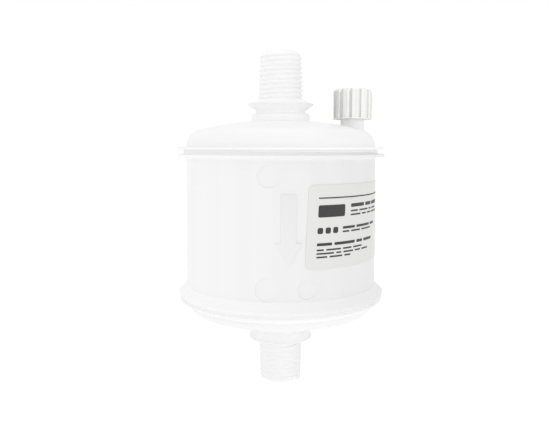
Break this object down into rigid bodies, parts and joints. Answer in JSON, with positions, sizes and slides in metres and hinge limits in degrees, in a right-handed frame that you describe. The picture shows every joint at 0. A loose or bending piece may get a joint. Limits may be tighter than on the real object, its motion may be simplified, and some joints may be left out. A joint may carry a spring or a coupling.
{
  "type": "capsule filter",
  "caption": "Welded cylindrical capsule filter: translucent housing with domed heads, taper-threaded ports at both ends, a fluted screw vent and a pleated cartridge inside.",
  "frame": {"origin": "centre of the outlet port's end face", "axes": "+Z along the flow axis from the outlet to the inlet, +X towards the vent, -Y towards the flow arrow at the front"},
  "size_m": [0.0656, 0.0656, 0.106],
  "materials": {
    "milky_plastic": "smooth translucent natural polypropylene",
    "label_film": "satin film",
    "cartridge_plastic": "moulded",
    "fleece": "nonwoven",
    "membrane": "smooth porous sheet",
    "vent_plastic": "moulded",
    "seal_rubber": "moulded"
  },
  "bodies": {
    "housing": {"inlet_head": "milky_plastic", "body_shell": "milky_plastic", "outlet_head": "milky_plastic", "label": "label_film", "top_end_cap": "cartridge_plastic", "bottom_end_cap": "cartridge_plastic", "outer_cage": "cartridge_plastic", "inner_core": "cartridge_plastic", "upstream_support": "fleece", "filter_membrane": "membrane", "downstream_support": "fleece"},
    "vent_seal": {"vent_o_ring": "seal_rubber"},
    "vent_valve": {"vent_knob": "vent_plastic"}
  },
  "joints": [
    {"name": "vent_lift", "type": "slide", "parent": "housing", "child": "vent_seal", "axis": [0, 0, 1], "range_m": [0, 0.00225]},
    {"name": "vent_turn", "type": "hinge", "parent": "vent_seal", "child": "vent_valve", "pos_m": [0.0227, 0, 0.0852], "axis": [0, 0, 1], "range_deg": [0, 541]}
  ],
  "couplings": [
    {"joint": "vent_turn", "follows": "vent_lift", "rad_per_m": 4188.8}
  ]
}
